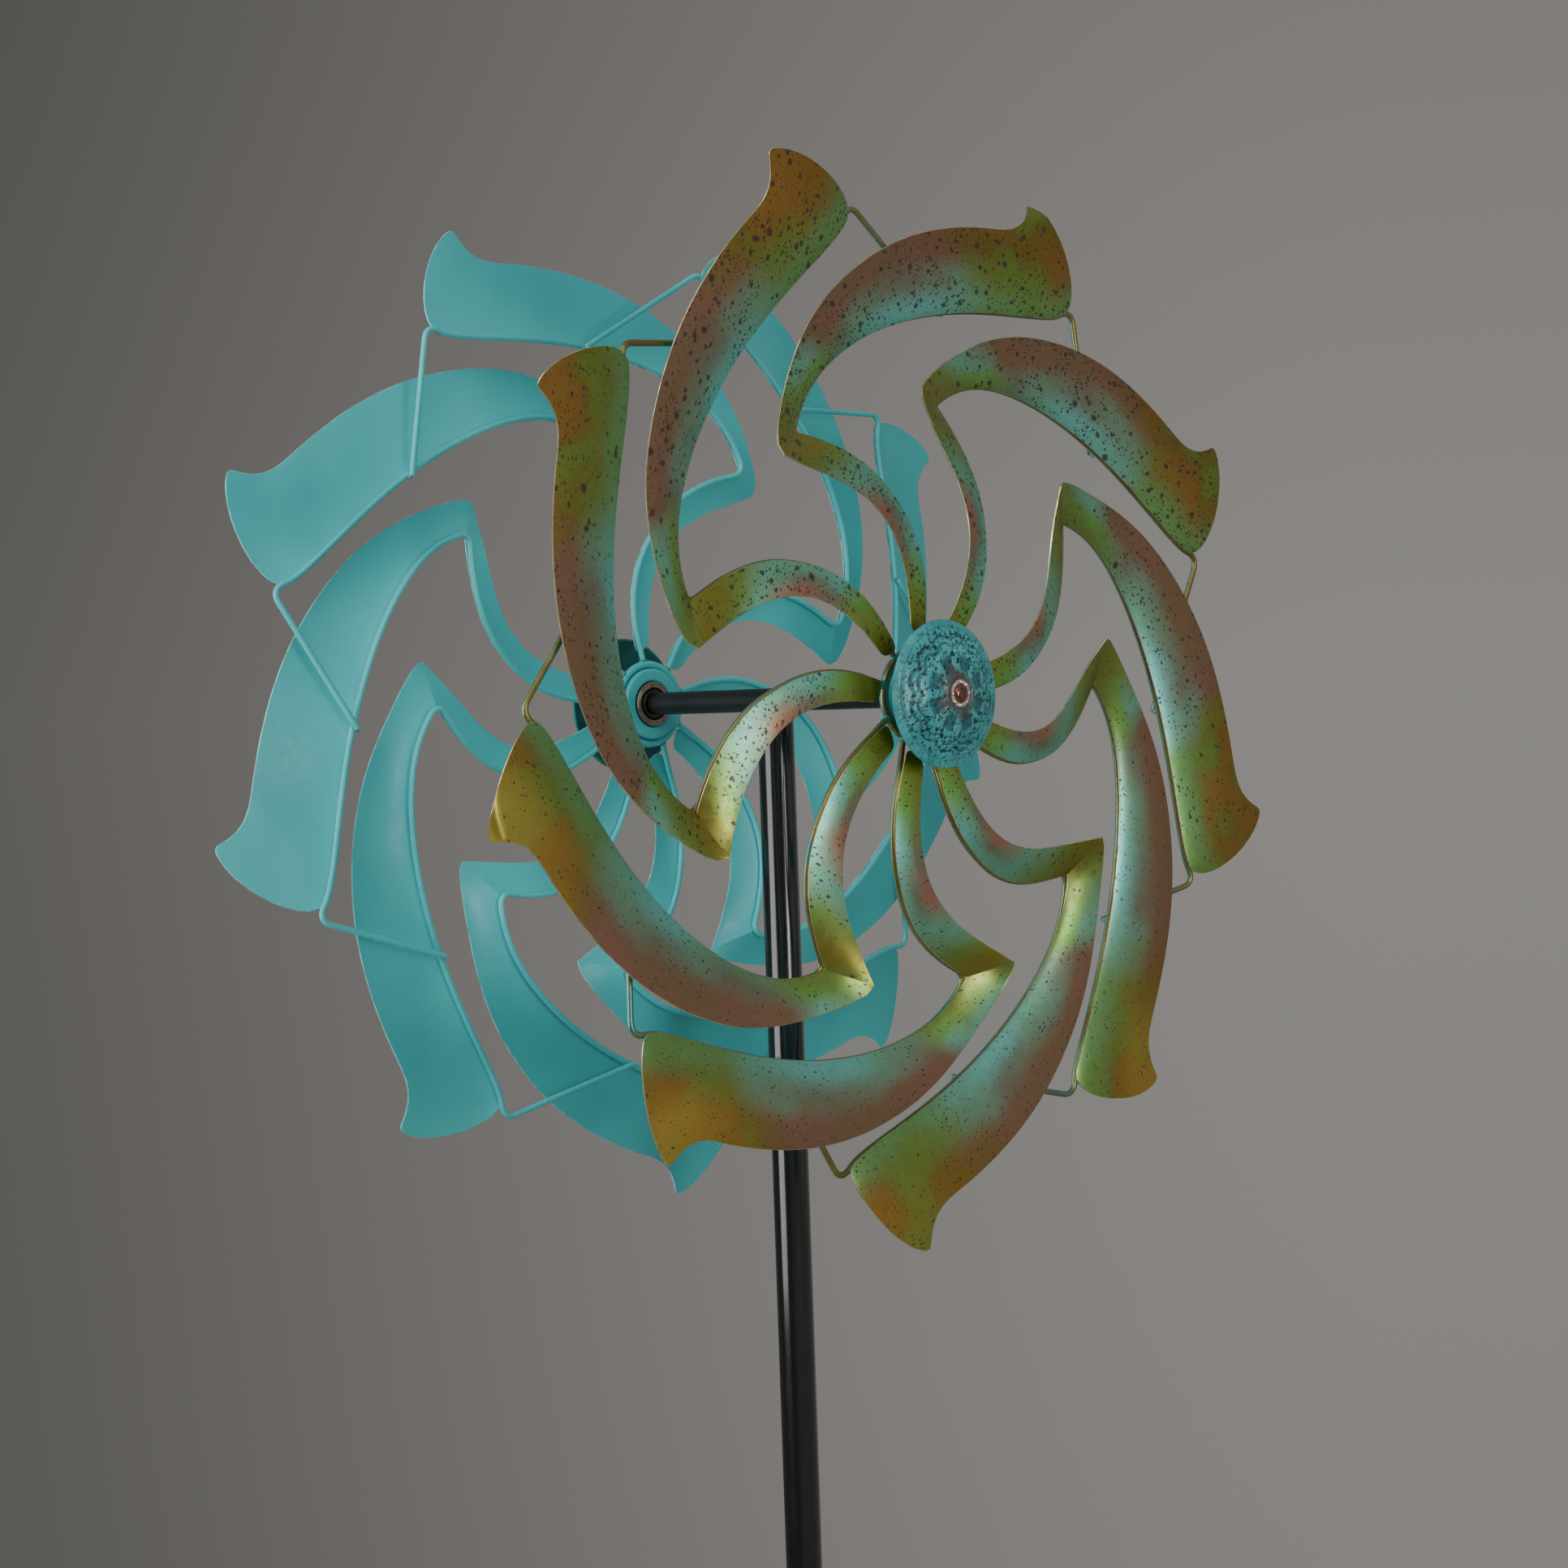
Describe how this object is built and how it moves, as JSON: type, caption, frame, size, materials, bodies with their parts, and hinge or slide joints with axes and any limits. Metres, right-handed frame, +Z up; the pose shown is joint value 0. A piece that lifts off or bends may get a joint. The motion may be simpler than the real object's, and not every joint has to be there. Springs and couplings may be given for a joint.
{
  "type": "wind spinner",
  "caption": "Double wind spinner: two turquoise and copper swept-blade rotors spin on the ends of a bar across the top of a black garden pole with a tined ground fork.",
  "frame": {"origin": "on the pole's axis at the soil line, at the centre of the step plate's underside", "axes": "+Z up along the pole; the cross bar lies along Y and the front rotor faces -Y"},
  "size_m": [0.5972, 0.298, 1.8889],
  "materials": {
    "blade": "glossy patina, turquoise to copper",
    "turquoise_paint": "satin",
    "dome": "glossy, black speckle",
    "bare_steel": "satin",
    "dark_steel": "oiled",
    "black_satin": "satin",
    "black_gloss": "glossy"
  },
  "bodies": {
    "stand": {"cross_bar": "black_satin", "front_axle_nut": "bare_steel", "front_axle_washer": "bare_steel", "front_bearing_inner": "dark_steel", "lower_pole": "black_gloss", "middle_pole": "black_gloss", "rear_axle_nut": "bare_steel", "rear_axle_washer": "bare_steel", "rear_bearing_inner": "dark_steel", "step_plate": "black_gloss", "tine_1": "black_gloss", "tine_2": "black_gloss", "tine_3": "black_gloss", "tine_4": "black_gloss", "upper_pole": "black_gloss"},
    "front_rotor": {"front_bearing_outer": "bare_steel", "front_blade_1": "blade", "front_blade_2": "blade", "front_blade_3": "blade", "front_blade_4": "blade", "front_blade_5": "blade", "front_blade_6": "blade", "front_blade_7": "blade", "front_blade_8": "blade", "front_blade_9": "blade", "front_dome_cap": "dome", "front_hub_housing": "turquoise_paint", "front_hub_ring": "turquoise_paint", "front_rod_1": "turquoise_paint", "front_rod_2": "turquoise_paint", "front_rod_3": "turquoise_paint", "front_rod_4": "turquoise_paint", "front_rod_5": "turquoise_paint", "front_rod_6": "turquoise_paint", "front_rod_7": "turquoise_paint", "front_rod_8": "turquoise_paint", "front_rod_9": "turquoise_paint"},
    "rear_rotor": {"rear_bearing_outer": "bare_steel", "rear_blade_1": "blade", "rear_blade_2": "blade", "rear_blade_3": "blade", "rear_blade_4": "blade", "rear_blade_5": "blade", "rear_blade_6": "blade", "rear_blade_7": "blade", "rear_blade_8": "blade", "rear_blade_9": "blade", "rear_dome_cap": "dome", "rear_hub_housing": "turquoise_paint", "rear_hub_ring": "turquoise_paint", "rear_rod_1": "turquoise_paint", "rear_rod_2": "turquoise_paint", "rear_rod_3": "turquoise_paint", "rear_rod_4": "turquoise_paint", "rear_rod_5": "turquoise_paint", "rear_rod_6": "turquoise_paint", "rear_rod_7": "turquoise_paint", "rear_rod_8": "turquoise_paint", "rear_rod_9": "turquoise_paint"}
  },
  "joints": [
    {"name": "front_rotor_spin", "type": "hinge", "parent": "stand", "child": "front_rotor", "pos_m": [0, -0.115, 1.37], "axis": [0, -1, 0], "continuous": true},
    {"name": "rear_rotor_spin", "type": "hinge", "parent": "stand", "child": "rear_rotor", "pos_m": [0, 0.115, 1.37], "axis": [0, 1, 0], "continuous": true}
  ]
}
